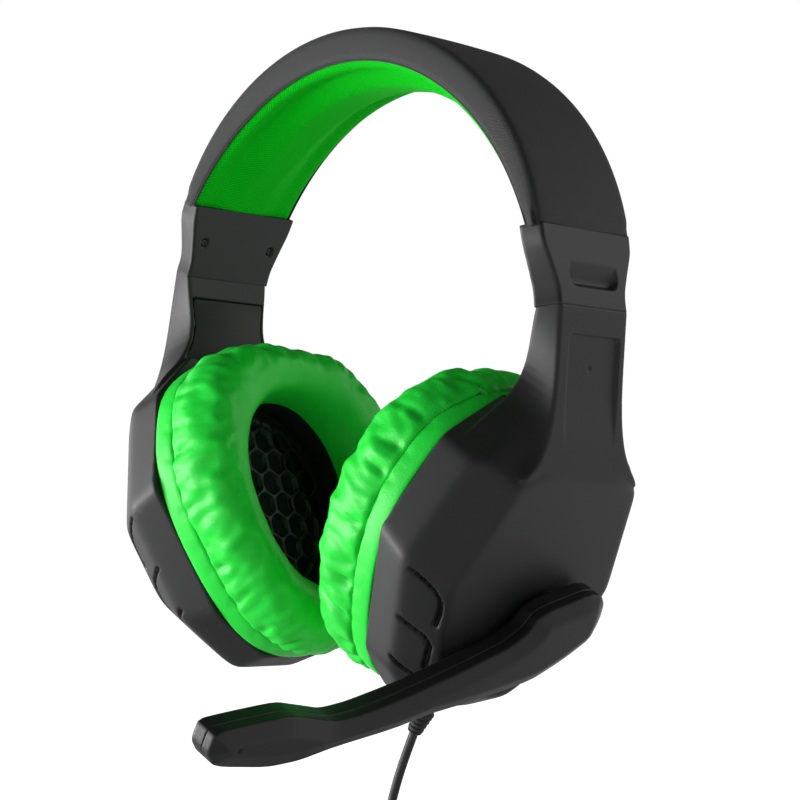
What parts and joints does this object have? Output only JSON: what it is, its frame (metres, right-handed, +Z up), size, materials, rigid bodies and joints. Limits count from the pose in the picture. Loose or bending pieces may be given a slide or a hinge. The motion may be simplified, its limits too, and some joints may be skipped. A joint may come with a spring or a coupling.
{
  "type": "gaming headset",
  "caption": "Over-ear gaming headset with a padded headband, sliding ear cups, soft ring cushions, a folding boom microphone and a cable with a jack plug.",
  "frame": {"origin": "lowest point of the crown pad, where the top of the head touches it", "axes": "+X to the wearer's left, -Y forward, +Z up"},
  "size_m": [0.1532, 0.1611, 0.3103],
  "materials": {
    "black_screw": "black oxide",
    "board_green": "solder mask",
    "boom_plastic": "fine satin black",
    "cable_rubber": "matte",
    "cover_fabric": "fine black coated fabric",
    "diaphragm_film": "clear film",
    "frame_plastic": "matte",
    "green_leatherette": "bright green soft artificial leather, satin",
    "green_mesh": "bright green knitted mesh over foam",
    "grille_cloth": "thin black cloth",
    "grille_plastic": "satin",
    "inner_plastic": "matte",
    "jack_metal": "gold plated",
    "magnet_steel": "plated",
    "pivot_steel": "plated",
    "plug_plastic": "matte",
    "shell_plastic": "fine satin black",
    "slider_steel": "black satin",
    "spring_steel": "satin",
    "tie_strap": "hook and loop strap",
    "washer_nylon": "nylon",
    "wire_rubber": "matte"
  },
  "bodies": {
    "headband": {"crossover_wire": "wire_rubber", "headband_cover": "cover_fabric", "headband_frame": "frame_plastic", "headband_pad": "green_mesh", "headband_spring": "spring_steel", "left_block_screws": "black_screw", "left_detent_leaf": "spring_steel", "left_end_block_inner": "shell_plastic", "left_end_block_outer": "shell_plastic", "right_block_screws": "black_screw", "right_detent_leaf": "spring_steel", "right_end_block_inner": "shell_plastic", "right_end_block_outer": "shell_plastic"},
    "left_cup": {"left_slider": "slider_steel", "left_slider_screws": "black_screw", "left_baffle": "inner_plastic", "left_baffle_screws": "black_screw", "left_driver_frame": "inner_plastic", "left_driver_diaphragm": "diaphragm_film", "left_driver_magnet": "magnet_steel", "left_terminal_board": "board_green", "left_grille_cloth": "grille_cloth", "left_grille": "grille_plastic", "left_cushion_ring": "inner_plastic", "left_ear_cushion": "green_leatherette", "left_arm_cover": "inner_plastic", "left_outer_shell": "shell_plastic", "boom_pivot": "pivot_steel", "boom_pivot_nut": "pivot_steel", "boom_friction_washer": "washer_nylon", "strain_relief": "cable_rubber", "cable": "cable_rubber", "cable_coil": "cable_rubber", "cable_tie": "tie_strap", "cable_tail": "cable_rubber", "plug_grip": "plug_plastic", "plug_jack": "jack_metal"},
    "right_cup": {"right_slider": "slider_steel", "right_slider_screws": "black_screw", "right_baffle": "inner_plastic", "right_baffle_screws": "black_screw", "right_driver_frame": "inner_plastic", "right_driver_diaphragm": "diaphragm_film", "right_driver_magnet": "magnet_steel", "right_terminal_board": "board_green", "right_grille_cloth": "grille_cloth", "right_grille": "grille_plastic", "right_cushion_ring": "inner_plastic", "right_ear_cushion": "green_leatherette", "right_arm_cover": "inner_plastic", "right_outer_shell": "shell_plastic"},
    "mic_boom": {"boom_back_shell": "boom_plastic", "boom_front_shell": "boom_plastic", "boom_screws": "black_screw", "mic_capsule": "magnet_steel", "mic_boot": "wire_rubber"}
  },
  "joints": [
    {"name": "left_slide", "type": "slide", "parent": "headband", "child": "left_cup", "axis": [0.2419, 0, -0.9703], "range_m": [0, 0.025]},
    {"name": "right_slide", "type": "slide", "parent": "headband", "child": "right_cup", "axis": [-0.2419, 0, -0.9703], "range_m": [0, 0.025]},
    {"name": "boom_hinge", "type": "hinge", "parent": "left_cup", "child": "mic_boom", "pos_m": [0.06548, 0.006, -0.1493], "axis": [0.92, 0, -0.3919], "range_deg": [-105, 20]}
  ]
}
